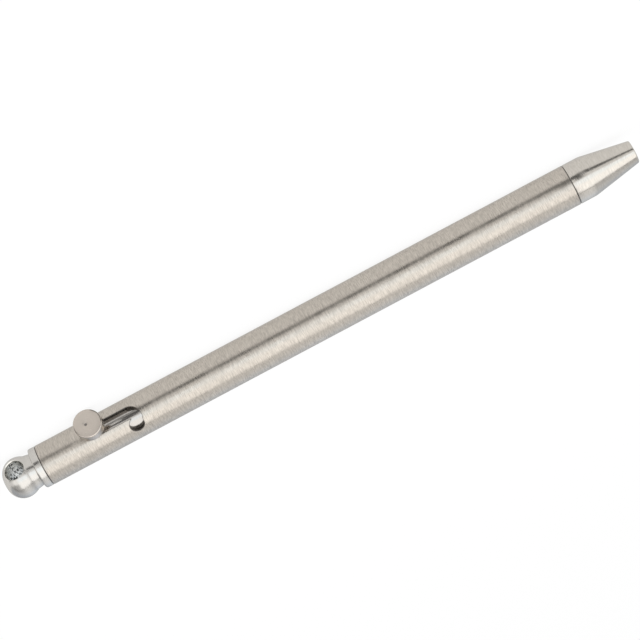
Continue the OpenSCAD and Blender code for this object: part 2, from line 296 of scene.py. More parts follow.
def cut_away(bm, cutter):
    """What is left of a closed bmesh once another is taken from it, as a new bmesh."""
    objects = [placed("part", mesh_of(part, "part")) for part in (bm, cutter)]
    cut = objects[0].modifiers.new("Hole", "BOOLEAN")
    cut.operation = "DIFFERENCE"
    cut.solver = "MANIFOLD"
    cut.object = objects[1]
    bpy.context.view_layer.update()
    shaped = objects[0].evaluated_get(bpy.context.evaluated_depsgraph_get())
    result = bmesh.new()
    result.from_mesh(shaped.to_mesh())
    shaped.to_mesh_clear()
    for item in objects:
        mesh = item.data
        bpy.data.objects.remove(item)
        bpy.data.meshes.remove(mesh)
    return result


def finished(name, bm, node, body, materials, turn=Matrix.Identity(4)):
    """Makes a bmesh in the pen's frame a piece that stands for a CAD node."""
    bmesh.ops.transform(bm, matrix=PEN_TO_ROW @ turn, verts=bm.verts)
    mesh = mesh_of(bm, name)
    for material in materials:
        mesh.materials.append(material)
    mesh.shade_smooth()
    mesh.set_sharp_from_angle(angle=SHARP_ANGLE)
    piece = placed(name, mesh)
    piece.modifiers.new("Even shading", "WEIGHTED_NORMAL").keep_sharp = True
    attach(piece, body)
    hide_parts(node)
    return piece


# Shader helpers and groups

def add(tree, kind, inputs=None, **settings):
    """A new shader node, with its settings and with each input linked or set."""
    node = tree.nodes.new("ShaderNode" + kind)
    for key, value in settings.items():
        setattr(node, key, value)
    for key, value in (inputs or {}).items():
        if isinstance(value, bpy.types.NodeSocket):
            tree.links.new(value, node.inputs[key])
        else:
            node.inputs[key].default_value = value
    return node


def calc(tree, operation, a, b=0.5, clamp=False):
    return add(tree, "Math", {0: a, 1: b}, operation=operation,
               use_clamp=clamp).outputs[0]


def noise(tree, vector, scale=1.0, detail=2.0, rough=0.5):
    return add(tree, "TexNoise", {"Vector": vector, "Scale": scale, "Detail": detail,
                                  "Roughness": rough}).outputs["Fac"]


def spread(tree, value, low, high, to_low=0.0, to_high=1.0):
    """Stretches a narrow range of a value to another range."""
    return add(tree, "MapRange", {"Value": value, "From Min": low, "From Max": high,
                                  "To Min": to_low, "To Max": to_high}).outputs["Result"]


def stretched(tree, vector, factors):
    return add(tree, "VectorMath", {0: vector, 1: factors},
               operation="MULTIPLY").outputs[0]


def mixed(tree, factor, first, second, blend="MIX"):
    """Two colours, each a socket or three values, blended by a factor."""
    first, second = (value if isinstance(value, bpy.types.NodeSocket) else (*value, 1)
                     for value in (first, second))
    return add(tree, "Mix", {"Factor": factor, "A": first, "B": second},
               data_type="RGBA", blend_type=blend).outputs["Result"]


def node_group(name, inputs, outputs):
    """A new shader node group that takes a vector and some numbers, with the sockets
    that come in and the sockets that they leave by."""
    group = bpy.data.node_groups.new(name, "ShaderNodeTree")
    new = group.interface.new_socket
    new(name="Vector", in_out="INPUT", socket_type="NodeSocketVector")
    for label, value in inputs.items():
        socket = new(name=label, in_out="INPUT", socket_type="NodeSocketFloat")
        socket.default_value = value
    for label in outputs:
        new(name=label, in_out="OUTPUT", socket_type="NodeSocketFloat")
    return (group, group.nodes.new("NodeGroupInput").outputs,
            group.nodes.new("NodeGroupOutput").inputs)


def brushing_group(name):
    """Short strokes that run round the pen: height for a bump and a streak mask."""
    group, into, out = node_group(name, {"Stroke width": 0.1, "Stroke length": 1.5},
                                  ("Height", "Streak"))
    across = calc(group, "DIVIDE", 1.0, into["Stroke width"])
    along = calc(group, "DIVIDE", 1.0, into["Stroke length"])
    scales = add(group, "CombineXYZ", {"X": across, "Y": along, "Z": along})
    vector = stretched(group, into["Vector"], scales.outputs[0])
    coarse = noise(group, vector, 1.0, 3.0, 0.6)
    fine = noise(group, vector, 3.3, 2.0, 0.5)
    height = calc(group, "ADD", calc(group, "MULTIPLY", coarse, 0.7),
                  calc(group, "MULTIPLY", fine, 0.3))
    group.links.new(height, out["Height"])
    group.links.new(spread(group, coarse, 0.3, 0.7), out["Streak"])


def handling_group(name):
    """Smudges and hair scratches from pockets and fingers."""
    group, into, out = node_group(name, {"Patch size": 4.0}, ("Smudge", "Scratch"))
    shrink = calc(group, "DIVIDE", 1.0, into["Patch size"])
    vector = add(group, "VectorMath", {0: into["Vector"], "Scale": shrink},
                 operation="SCALE").outputs[0]
    smudge = noise(group, vector, 1.0, 4.0, 0.6)
    lines = noise(group, vector, 2.3, 1.0, 0.4)
    hair = calc(group, "ABSOLUTE", calc(group, "SUBTRACT", lines, 0.5))
    where = spread(group, noise(group, vector, 3.1, 0.0), 0.5, 0.62)
    scratch = calc(group, "MULTIPLY", spread(group, hair, 0.004, 0.0), where)
    group.links.new(spread(group, smudge, 0.35, 0.68), out["Smudge"])
    group.links.new(scratch, out["Scratch"])


def facing_group(name):
    """Rings that a lathe tool leaves on a face that is square to z."""
    group, into, out = node_group(name, {"Pitch": 0.08}, ("Height", "Ring"))
    flat = stretched(group, into["Vector"], (1, 1, 0))
    reach = add(group, "VectorMath", {0: flat}, operation="LENGTH").outputs["Value"]
    step = calc(group, "DIVIDE", reach, into["Pitch"])
    wave = calc(group, "SINE", calc(group, "MULTIPLY", step, 2 * pi))
    comb = add(group, "CombineXYZ", {"X": step})
    uneven = noise(group, comb.outputs[0], 0.9, 2.0, 0.6)
    height = calc(group, "ADD", calc(group, "MULTIPLY", wave, 0.2), uneven)
    group.links.new(height, out["Height"])
    group.links.new(spread(group, uneven, 0.3, 0.7), out["Ring"])


GROUPS = {"Brushing round the axis": brushing_group, "Handling marks": handling_group,
          "Facing rings": facing_group}


def grouped(tree, name, inputs):
    """A node that holds a shared group, which is built at its first use."""
    if name not in bpy.data.node_groups:
        GROUPS[name](name)
    return add(tree, "Group", inputs, node_tree=bpy.data.node_groups[name]).outputs


def on_axis(tree, turn=Matrix.Identity(4)):
    """Object coordinates brought to the pen's own frame in millimetres, or to a frame
    that turn places in it."""
    spot, spin, size = (PEN_TO_ROW @ turn).inverted().decompose()
    coords = add(tree, "TexCoord").outputs["Object"]
    return add(tree, "Mapping", {"Location": spot, "Rotation": spin.to_euler("XYZ"),
                                 "Scale": size, "Vector": coords}).outputs[0]


def metal(name, base, rough, stroke=(0.1, 1.5), depth=0.001, uneven=0.06, tone=0.05,
          rings=None, turn=Matrix.Identity(4), pits=0):
    """Bare metal with brushing round the pen, or facing rings where rings is a pitch.
    depth is the height of the marks in millimetres, and pits is how dark the painted shade
    in small hollows is, which are drawn out along the x axis of the frame that turn
    places."""
    if name in bpy.data.materials:
        return bpy.data.materials[name]
    material = bpy.data.materials.new(name)
    material.use_nodes = True
    tree = material.node_tree
    shader = tree.nodes["Principled BSDF"].inputs
    vector = on_axis(tree, turn)
    if rings:
        marks = grouped(tree, "Facing rings", {"Pitch": rings, "Vector": vector})
        streak = marks["Ring"]
    else:
        marks = grouped(tree, "Brushing round the axis",
                        {"Stroke width": stroke[0], "Stroke length": stroke[1],
                         "Vector": vector})
        streak = marks["Streak"]
    wear = grouped(tree, "Handling marks", {"Vector": vector})
    shown = mixed(tree, streak, [c * (1 - tone) for c in base],
                  [min(1.0, c * (1 + tone)) for c in base])
    # Painted shade: small pits are darkened in the colour, in place of the shade in their
    # hollows.
    if pits:
        pit_noise = noise(tree, stretched(tree, vector, (0.45, 1, 1)), 3.8, 2.0, 0.6)
        shown = mixed(tree, spread(tree, pit_noise, 0.425, 0.445, pits, 0), shown,
                      [c * PIT_SHADE for c in base])
    tree.links.new(shown, shader["Base Color"])
    patches = spread(tree, wear["Smudge"], 0, 1, rough - uneven / 2, rough + uneven / 2)
    lined = calc(tree, "ADD", patches, calc(tree, "MULTIPLY", streak, uneven / 2))
    rubbed = calc(tree, "MULTIPLY", wear["Scratch"], rough / 3)
    tree.links.new(calc(tree, "SUBTRACT", lined, rubbed, clamp=True),
                   shader["Roughness"])
    relief = calc(tree, "SUBTRACT", marks["Height"],
                  calc(tree, "MULTIPLY", wear["Scratch"], SCRATCH_DEPTH))
    bump = add(tree, "Bump", {"Strength": 1, "Distance": depth * MM, "Height": relief})
    tree.links.new(bump.outputs["Normal"], shader["Normal"])
    shader["Metallic"].default_value = 1.0
    shader["Specular Tint"].default_value = EDGE_TINT
    return material


def bore_steel_painted_shade(c):
    """Bores and drilled walls, which several pieces have, in a dark steel: painted shade
    in the recesses where little light falls.
    """
    return metal("Painted shade bore steel", c.bore, 0.42, stroke=(0.12, 2.0), depth=0.004, tone=0.25)


def ink_material(base):
    """Wet paste ink with a slow swirl in its sheen."""
    material = bpy.data.materials.new("Paste ink")
    material.use_nodes = True
    tree = material.node_tree
    shader = tree.nodes["Principled BSDF"].inputs
    swirl = spread(tree, noise(tree, on_axis(tree), 0.8, 4.0, 0.6), 0.3, 0.7)
    light = [value * 2.2 + 0.004 for value in base]
    tree.links.new(mixed(tree, swirl, base, light), shader["Base Color"])
    tree.links.new(spread(tree, swirl, 0, 1, 0.12, 0.28), shader["Roughness"])
    return material


# Barrel

def meeting(inside, low, high):
    """The angle between low and high where inside changes, by halving."""
    first = inside(low)
    for _ in range(48):
        middle = (low + high) / 2
        if inside(middle) == first:
            low = middle
        else:
            high = middle
    return (low + high) / 2


def slot_outline(p, r):
    """The J-slot's outline on a cylinder with a radius of r, as (station, angle) pairs.
    Angles run from the bolt towards -y. The same points come in the same order for
    every radius, so that the outlines of the outer wall and the bore pair up."""
    half = p.slot_w / 2
    hook_at = (asin(p.hook_r / p.barrel_r) - asin(half / p.barrel_r)
               + HOOK_OFFSET)

    def circle(x, at, radius):
        """A round cutter: its points, with a from the tip's direction towards -y, and
        whether a point is inside it."""
        def point(a):
            return (x + radius * cos(a), at + asin(radius * sin(a) / r))

        def holds(spot):
            return (spot[0] - x) ** 2 + (r * sin(spot[1] - at)) ** 2 < radius ** 2
        return point, holds

    tail, _ = circle(p.slot_x0, 0, half)
    end, _ = circle(p.turn_x, 0, half)
    hook, in_hook = circle(p.turn_x, hook_at, p.hook_r)
    pocket, in_pocket = circle(p.pocket_x, POCKET_TURN, p.pocket_r)

    # Where the slot's round end goes over into the hook, and the hook into the pocket
    if in_hook(end(-pi / 2)):
        # Further in, the hook undercuts the run's edge and meets it in a step
        hook_in = -acos((p.beak_x - p.turn_x) / p.hook_r)
        start, foot = end(-pi / 2), hook(hook_in)
        way_in = lambda t: tuple((1 - t) * a + t * b for a, b in zip(start, foot))
        end_range = (0, 1)
    else:
        end_out = meeting(lambda a: in_hook(end(a)), -pi / 2, 0)
        hook_in = -acos((end(end_out)[0] - p.turn_x) / p.hook_r)
        way_in = end
        end_range = (-pi / 2, end_out)
    hook_out = meeting(lambda a: in_pocket(hook(a)), 0, radians(80))
    x_meet, turn_meet = hook(hook_out)
    pocket_in = atan2(r * sin(turn_meet - POCKET_TURN), x_meet - p.pocket_x)
    edge_turn = asin(half / r)

    # The beak has a blunt tip between the pocket's circle and the slot's edge
    pocket_out = pi + acos((p.pocket_x - p.beak_x) / p.pocket_r)
    soft = p.beak_round
    corner = pocket(pocket_out)
    under = (p.beak_x, corner[1] - soft / r)
    over = (p.beak_x, edge_turn + soft / r)
    edge = (p.beak_x, edge_turn)
    if under[1] < over[1]:
        # Further in, the pocket runs into the slot before it reaches the beak's tip
        pocket_out = meeting(lambda a: pocket(a)[1] > edge_turn, pi, pocket_out)
        corner = under = over = edge = pocket(pocket_out)
    before = pocket(pocket_out - soft / p.pocket_r)
    after = (edge[0] - soft, edge_turn)

    def steps(a0, a1, count, curve):
        return [curve(a0 + (a1 - a0) * i / count) for i in range(count)]

    def rounded(start, peak, stop):
        """A corner rounded off between two points on its sides."""
        def point(t):
            return tuple((1 - t) ** 2 * a + 2 * t * (1 - t) * b + t * t * c
                         for a, b, c in zip(start, peak, stop))
        return steps(0, 1, 3, point)

    def straight(start, stop, turn):
        return steps(start, stop, RUN_POINTS, lambda x: (x, turn))

    return (steps(-pi, -pi / 2, 8, tail)
            + straight(p.slot_x0, p.turn_x, -edge_turn)
            + steps(*end_range, 4, way_in)
            + steps(hook_in, hook_out, 20, hook)
            + steps(pocket_in, pocket_out - soft / p.pocket_r, 28, pocket)
            + rounded(before, corner, under)
            + rounded(over, edge, after)
            + straight(after[0], p.slot_x0, edge_turn)
            + steps(pi / 2, pi, 8, tail))


def barrel_mesh(p):
    """The tube as a flat sheet with the slot cut through it, rounded at its rims, cut
    into narrow strips and then wrapped round the axis."""
    bm = bmesh.new()
    r_out, r_in = p.barrel_r, p.bore_r
    x0, x1 = p.barrel_x0, p.barrel_x1
    low, high = (SLOT_MIDDLE - pi) * r_out, (SLOT_MIDDLE + pi) * r_out

    def layer(r):
        """One skin of the sheet: the slot's rim and the sheet's corners."""
        height = r - r_in
        rim = [bm.verts.new((x, turn * r_out, height)) for x, turn in slot_outline(p, r)]
        corners = [bm.verts.new((x, y, height)) for x, y in
                   ((x0, SLOT_MIDDLE * r_out), (x0, low), (x1, low),
                    (x1, SLOT_MIDDLE * r_out), (x1, high), (x0, high))]
        return rim, corners

    outer, outer_ends = layer(r_out)
    inner, inner_ends = layer(r_in)
    # The wall drops straight for a little way, so that its rim can be rounded
    below = [bm.verts.new(vert.co - Vector((0, 0, RIM_DROP))) for vert in outer]
    far = max(range(len(outer)), key=lambda i: outer[i].co.x)
    for rim, ends in ((outer, outer_ends), (inner, inner_ends)):
        bm.faces.new(rim[:far + 1] + [ends[3], ends[2], ends[1], ends[0]])
        bm.faces.new(rim[far:] + [rim[0], ends[0], ends[5], ends[4], ends[3]])
    for upper, lower in ((outer, below), (below, inner)):
        for i in range(len(upper)):
            j = (i + 1) % len(upper)
            bm.faces.new((upper[i], upper[j], lower[j], lower[i]))
    for i, j in ((1, 0), (0, 5), (4, 3), (3, 2)):
        bm.faces.new((outer_ends[i], outer_ends[j], inner_ends[j], inner_ends[i]))
    outwards(bm)

    rims = set(outer)
    slot_rim = [e for e in bm.edges if e.verts[0] in rims and e.verts[1] in rims]
    ends = set(outer_ends)
    end_rims = [e for e in bm.edges if e.verts[0] in ends and e.verts[1] in ends
                and abs(e.verts[0].co.x - e.verts[1].co.x) < 1e-6]
    edge_shade_and_wear = bevelled(bm, slot_rim, p.rim_round, 3)
    edge_shade_and_wear += bevelled(bm, [e for e in end_rims if e.is_valid], p.seam, 2)
    edge_shade_and_wear = {face for face in edge_shade_and_wear if face.is_valid}
    # The rounded slot rim and the end chamfers take the dark slot edge steel: painted
    # shade along the slot's edge, and dark joint lines at the ends. Faces under the outer
    # skin take the dark bore steel: painted shade in the slot's walls and the bore.
    for face in bm.faces:
        if face in edge_shade_and_wear:
            face.material_index = 1
        elif all(v.co.z < r_out - r_in - 1e-5 for v in face.verts):
            face.material_index = 2

    for i in range(1, STRIPS):
        y = low + (high - low) * i / STRIPS
        bmesh.ops.bisect_plane(bm, geom=bm.verts[:] + bm.edges[:] + bm.faces[:],
                               dist=1e-5, plane_co=(0, y, 0), plane_no=(0, 1, 0))
    for vert in bm.verts:
        turn = vert.co.y / r_out
        r = r_in + vert.co.z
        vert.co = Vector((vert.co.x, -r * sin(turn), r * cos(turn)))
    clean(bm, 2e-4)
    return bm


class PEN_OT_barrel(bpy.types.Operator):
    """Build the brushed barrel with its J-shaped slot"""
    bl_idname = "pen.barrel"
    bl_label = "Barrel"

    def execute(self, context):
        p, c = sizes_and_colours(context)
        brushed = metal("Brushed barrel steel", c.barrel, c.barrel_rough,
                        stroke=(0.13, 0.8), depth=0.018, uneven=0.1, tone=0.21)
        # The slot's rim steel is dark: painted shade along the slot's edge, and dark joint
        # lines at the barrel's ends.
        rim = metal("Slot shade and joint steel", c.slot_shade_and_dark_joints, 0.3, stroke=(0.3, 0.6), depth=0.0008)
        finished("barrel_tube", barrel_mesh(p), "barrel", "barrel",
                 [brushed, rim, bore_steel_painted_shade(c)])
        return {"FINISHED"}


# Nose cone

def nose_outline(p):
    """Closed half outline of the nose cone: its three bores first and then outside."""
    x0, x1 = p.barrel_x1, PEN_LEN
    r, seam = p.barrel_r, p.seam
    end_r, rim, straight, shoulder = 1.71, 0.2, 2.5, 3.0
    slope = degrees(atan((r - end_r) / (x1 - x0 - straight)))
    tangent = shoulder * tan(radians(slope / 2))
    spigot, core = 84.65, 1.99
    return ([(spigot, 1.86), (84.71, 1.80), (SPRING_X1, 1.8), (SPRING_X1, 1.3),
             (TIP_STEP_X, 1.3), (TIP_STEP_X, 0.9), (98.94, 0.9), (x1, 0.96),
             (x1, end_r - rim - 0.05)]
            + arc(x1 - rim, end_r - rim, rim, 90, slope, 8)
            + arc(x0 + straight - tangent, r - shoulder, shoulder, slope, 0, 10)
            + [(x0 + seam, r), (x0 + seam * 0.3, r - seam * 0.45), (x0, r - seam),
               (x0, 2.08), (x0 - 0.35, core), (85.0, core), (spigot, core - 0.12)])


def nose_thread(p):
    """The male thread on the spigot, one closed ridge that dies away at both ends."""
    bm = bmesh.new()
    pitch, turns = p.thread_pitch, 7
    first, root = 84.85, 1.96
    section = [(first, 1.95), (84.98, 2.19), (85.02, 2.22), (85.06, 2.22), (85.10, 2.19),
               (85.23, 1.95)]
    coil(bm, section, [(turns, pitch)], 72)
    last = section[-1][0] + turns * pitch
    for vert in bm.verts:
        reach = hypot(vert.co.y, vert.co.z)
        if reach < root + 0.01:
            continue
        near = min(vert.co.x - first, last - vert.co.x) / pitch
        keep = max(0.0, min(1.0, near))
        small = (root + (reach - root) * keep) / reach
        vert.co.y *= small
        vert.co.z *= small
    outwards(bm)
    return bm


class PEN_OT_nose_cone(bpy.types.Operator):
    """Build the turned nose cone with its thread"""
    bl_idname = "pen.nose_cone"
    bl_label = "Nose cone"

    def execute(self, context):
        p, c = sizes_and_colours(context)
        bm = lathed(nose_outline(p), 192, closed=True)
        # The bores take the dark bore steel: painted shade inside them.
        for face in bm.faces:
            middle = face.calc_center_median()
            reach = hypot(middle.y, middle.z)
            if reach < 1.82 and abs(face.normal.x) < 0.9 and middle.x < 98.5:
                face.material_index = 1
            elif reach > 2.6 and middle.x < 92.2:
                face.material_index = 2
        cone = metal("Turned nose steel", c.nose, c.nose_rough, stroke=(0.11, 1.2),
                     depth=0.014, uneven=0.08, tone=0.1)
        ring = metal("Turned ring steel", c.nose, 0.17, stroke=(0.12, 0.9),
                     depth=0.019, uneven=0.08, tone=0.1)
        finished("nose_cone_shell", merged(bm, nose_thread(p)), "nose_cone",
                 "nose_cone", [cone, bore_steel_painted_shade(c), ring])
        return {"FINISHED"}


# Tail cap

def ball_reach(x):
    """Radius of the ball at a station."""
    if x < BALL_END:
        return BALL_R - BALL_END + sqrt(BALL_END ** 2 - (BALL_END - x) ** 2)
    return BALL_R - BALL_SIDE + sqrt(BALL_SIDE ** 2 - (x - BALL_END) ** 2)


def hole_cutter(p):
    """The key ring hole along z, flared at its mouths along the ball's own slope."""
    r = p.keyhole_r
    tail_rim, neck_rim = ball_reach(HOLE_X - r), ball_reach(HOLE_X + r)
    slope = (neck_rim - tail_rim) / (2 * r)
    mouth = (tail_rim + neck_rim) / 2 - HOLE_MOUTH
    flare = [(mouth - 0.1, r), (mouth - 0.03, r + 0.008), (mouth + 0.03, r + 0.035),
             (mouth + 0.09, r + 0.08), (mouth + 1.2, r + 1.19)]
    outline = [(-z, reach) for z, reach in flare[::-1]] + flare
    bit = lathed([(-mouth - 1.2, 0)] + outline + [(mouth + 1.2, 0)], 128)
    for vert in bit.verts:
        along, across = vert.co.x, vert.co.z
        tilt = slope * across * (1 if along > 0 else -1)
        vert.co = Vector((HOLE_X + across, vert.co.y, along + tilt))
    outwards(bit)
    return bit


def ball_mesh(p):
    """The ball and neck with the key ring hole, which runs along z here. The piece is
    turned into place afterwards."""
    side_end = degrees(asin((NECK_X - BALL_END) / BALL_SIDE))
    outline = ([(0, 0), (0, 0.3)]
               + arc(BALL_END, BALL_R - BALL_END, BALL_END, -90, 0, 44)
               + arc(BALL_END, BALL_R - BALL_SIDE, BALL_SIDE, 0, side_end, 18)[1:]
               + [(ROOT_X - 0.1, NECK_R + 0.02), (ROOT_X - 0.03, NECK_R + 0.05),
                  (ROOT_X, NECK_R + 0.12), (ROOT_X + 0.1, NECK_R + 0.12),
                  (ROOT_X + 0.1, 0)])
    bm = cut_away(lathed(outline, 224), hole_cutter(p))
    for face in bm.faces:
        middle = face.calc_center_median()
        reach = hypot(middle.y, middle.z)
        from_hole = hypot(middle.x - HOLE_X, middle.y)
        if from_hole < p.keyhole_r + 0.004:
            face.material_index = 2
        elif (middle.x < NECK_X and reach < ball_reach(max(0, middle.x)) - 4e-3
              and from_hole < p.keyhole_r + 0.5):
            face.material_index = 1
    return bm


def flange_outline(p):
    x0, x1 = ROOT_X, p.barrel_x0
    r, seam = p.barrel_r, p.seam
    return ([(x0, 0), (x0, r - FLANGE_RIM - 0.03)]
            + arc(x0 + FLANGE_RIM, r - FLANGE_RIM, FLANGE_RIM, -90, 0, 7)
            + [(x1 - seam, r), (x1 - seam * 0.3, r - seam * 0.45), (x1, r - seam),
               (x1, 2.23), (x1 + 3.7, 2.23), (x1 + 4, 1.93), (x1 + 4, 0)])


class PEN_OT_tail_cap(bpy.types.Operator):
    """Build the polished tail cap with its ball and key ring hole"""
    bl_idname = "pen.tail_cap"
    bl_label = "Tail cap"

    def execute(self, context):
        p, c = sizes_and_colours(context)
        turn = Matrix.Rotation(HOLE_TURN, 4, "X")
        ball = ball_mesh(p)
        bmesh.ops.transform(ball, matrix=turn, verts=ball.verts)
        polished = metal("Polished tail steel", c.ball, c.ball_rough, stroke=(0.5, 3.0),
                         depth=0.0006, uneven=0.05, tone=0.03)
        # The hole's own frame has x along the hole
        along_hole = (turn @ Matrix.Translation((HOLE_X, 0, 0))
                      @ Matrix.Rotation(radians(-90), 4, "Y"))
        # The hole's wall has painted shade in small pits.
        drilled = metal("Drilled hole steel", c.hole, 0.38, stroke=(0.22, 0.7),
                        depth=0.05, uneven=0.2, tone=0.35, turn=along_hole, pits=0.95)
        edge_shade_and_wear = metal("Worn edge steel", c.edge, 0.16, stroke=(0.3, 0.6), depth=0.0008)
        finished("tail_cap_ball", merged(ball, lathed(flange_outline(p))), "tail_cap",
                 "barrel", [polished, edge_shade_and_wear, drilled])
        return {"FINISHED"}


# Bolt

def knob_outline(p):
    """Half outline of the knob along its own axis, as (height, radius) pairs."""
    top, r, rim = p.knob_top, p.knob_r, HEAD_RIM
    under = top - HEAD_HEIGHT
    return ([(-0.38, 0), (-0.38, 0.725), (-0.28, 0.825), (3.08, 0.825), (3.08, 1.24),
             (3.14, 1.3), (under - 0.08, 1.3), (under, 1.38), (under, r - rim - 0.04)]
            + arc(under + rim, r - rim, rim, -90, 0, 8)
            + [(under + rim + 0.03, r), (top - rim - 0.03, r)]
            + arc(top - rim, r - rim, rim, 0, 90, 8)
            + [(top, r - rim - 0.04), (top, DIMPLE_R), (top - 0.015, DIMPLE_R - 0.03),
               (top - 0.075, 0.05), (top - 0.08, 0)])


def knob_mesh(p):
    """The knob along x, with its dimple a little off the middle of its face."""
    knob = lathed(knob_outline(p), 128)
    dimple = [vert for vert in knob.verts if vert.co.x > p.knob_top - 0.1
              and hypot(vert.co.y, vert.co.z) < DIMPLE_R + 0.01]
    for face in knob.faces:
        face.material_index = 0 if face.normal.x > 0.95 else 1
        # The dimple takes the dark bore steel: painted shade in the lathe's centre mark.
        if all(vert in dimple for vert in face.verts):
            face.material_index = 2
    for vert in dimple:
        vert.co += DIMPLE_SHIFT
    return knob


def plunger_mesh(p):
    """The round slug with the cross hole that the knob's stem screws into."""
    slug = lathed([(11.65, 0), (11.65, 1.9), (11.74, 2.12), (11.95, 2.2), (30.48, 2.2),
                   (30.69, 2.12), (30.78, 1.9), (30.78, 1.36), (30.72, 1.3),
                   (29.58, 1.3), (29.58, 0)])
    drill = bmesh.new()
    floor, top, reach = -0.4, 3.0, 0.845
    bmesh.ops.create_cone(drill, cap_ends=True, segments=48, radius1=reach,
                          radius2=reach, depth=top - floor,
                          matrix=Matrix.Translation((p.bolt_x, 0, (top + floor) / 2)))
    return cut_away(slug, drill)


class PEN_OT_bolt(bpy.types.Operator):
    """Build the bolt: the round knob and the plunger that it screws into"""
    bl_idname = "pen.bolt"
    bl_label = "Bolt knob and plunger"

    def execute(self, context):
        p, c = sizes_and_colours(context)
        on_bolt = Matrix.Translation((p.bolt_x, 0, 0))
        # The knob's outline runs along x, and this turn stands it up along the bolt
        stand = on_bolt @ Matrix.Rotation(radians(-90), 4, "Y")
        faced = metal("Faced knob steel", c.knob, c.knob_rough, rings=0.085,
                      depth=0.0035, uneven=0.08, turn=on_bolt)
        side = metal("Turned knob steel", c.knob, 0.2, stroke=(0.1, 4.0), depth=0.0012,
                     turn=stand)
        finished("bolt_knob_head", knob_mesh(p), "bolt_knob", "bolt",
                 [faced, side, bore_steel_painted_shade(c)], turn=stand)
        slug = metal("Turned plunger steel", c.plunger, 0.16, stroke=(0.16, 6.0),
                     depth=0.0012)
        finished("plunger_slug", plunger_mesh(p), "plunger", "bolt",
                 [slug])
        return {"FINISHED"}


# Refill and spring

def tube_mesh():
    """The refill's tube, pinched near its front into two ears that carry the spring."""
    r, bore, cut = 1.175, 0.9, 0.06
    x0, x1 = 29.6, 90.4
    ear_x0, ear_x1, ear_reach, ear_width = 80.8, SPRING_X0, 1.65, 0.34
    stations = ([x0 + cut, 45, 62, 78] + [80.4 + 0.08 * i for i in range(26)]
                + [86, x1 - cut])
    bm = lathed([(x0, bore), (x0, r - cut)] + [(x, r) for x in stations]
                + [(x1, r - cut), (x1, bore)], 96, closed=True)
    for vert in bm.verts:
        if hypot(vert.co.y, vert.co.z) < r - 0.01 or abs(vert.co.y) < 0.5:
            continue
        rise = max(0.0, min(1.0, (vert.co.x - ear_x0 + 0.3) / 0.3,
                            (ear_x1 + 0.02 - vert.co.x) / 0.1))
        thin = exp(-(vert.co.z / ear_width) ** 2)
        vert.co.y *= 1 + (ear_reach / r - 1) * rise * thin
    return bm


def tip_outline():
    """Closed half outline of the writing tip, with its socket and ink channel."""
    return [(87.9, 0.2), (87.9, 0.82), (87.96, 0.88), (90.4, 0.88), (90.4, 1.12),
            (90.46, 1.17), (90.68, 1.17), (90.74, 1.12), (90.78, 0.8), (93.9, 0.8),
            (94.02, 0.785), (96.3, 0.418), (96.37, 0.41), (96.38, 0.375),
            (96.376, 0.33), (WRITING_BALL_X, 0.36), (96.1, 0.327), (95.98, 0.24),
            (95.94, 0.2)]


class PEN_OT_refill(bpy.types.Operator):
    """Build the refill: tube, tip, writing ball and ink"""
    bl_idname = "pen.refill"
    bl_label = "Refill"

    def execute(self, context):
        c = context.scene.pen_colours
        drawn = metal("Drawn refill steel", c.refill, 0.26, stroke=(3.0, 0.08),
                      uneven=0.1, tone=0.06)
        finished("refill_tube_body", tube_mesh(), "refill_tube", "refill",
                 [drawn])
        brass = metal("Turned brass", c.brass, 0.2, stroke=(0.07, 4.0), depth=0.0012,
                      uneven=0.08, tone=0.1)
        finished("refill_tip_cone", lathed(tip_outline(), 96, closed=True),
                 "refill_tip", "refill", [brass])
        ball = bmesh.new()
        bmesh.ops.create_uvsphere(ball, u_segments=40, v_segments=24,
                                  radius=WRITING_BALL_R,
                                  matrix=Matrix.Translation((WRITING_BALL_X, 0, 0)))
        carbide = metal("Lapped carbide", c.carbide, 0.12, stroke=(0.05, 0.05),
                        depth=0.0004, tone=0.1)
        finished("writing_ball_sphere", ball, "writing_ball", "writing_ball",
                 [carbide])
        column = lathed([(35.75, 0), (35.72, 0.4), (35.65, 0.7), (35.6, 0.88),
                         (87.88, 0.88), (87.88, 0)], 64)
        finished("ink_column_paste", column, "ink_column", "refill",
                 [ink_material(c.ink)])
        return {"FINISHED"}


class PEN_OT_spring(bpy.types.Operator):
    """Build the return spring round the refill"""
    bl_idname = "pen.spring"
    bl_label = "Return spring"

    def execute(self, context):
        p, c = sizes_and_colours(context)
        wire = p.wire_r
        mean, sides, gap, travel = 1.5, 12, 0.02, 5.2
        closed, coils, flat = 1.0, 8.0, 2 * wire + 0.01
        section = [(SPRING_X0 + gap + wire + wire * sin(2 * pi * k / sides),
                    mean + wire * cos(2 * pi * k / sides))
                   for k in range(sides)]
        span = SPRING_X1 - SPRING_X0 - 2 * gap - 2 * wire
        rise = (span - 2 * closed * flat) / coils
        bm = bmesh.new()
        coil(bm, section, [(closed, flat), (coils, rise), (closed, flat)], 48)
        outwards(bm)
        drawn = metal("Drawn spring wire", c.spring, 0.24, stroke=(0.4, 0.4),
                      depth=0.0008, uneven=0.1, tone=0.08)
        piece = finished("return_spring_coil", bm, "return_spring", "barrel",
                         [drawn])
        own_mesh(piece)
        return {"FINISHED"}


# Stage

def emptied(owner):
    """The node tree of a new material or world, with no nodes in it."""
    owner.use_nodes = True
    owner.node_tree.nodes.clear()
    return owner.node_tree


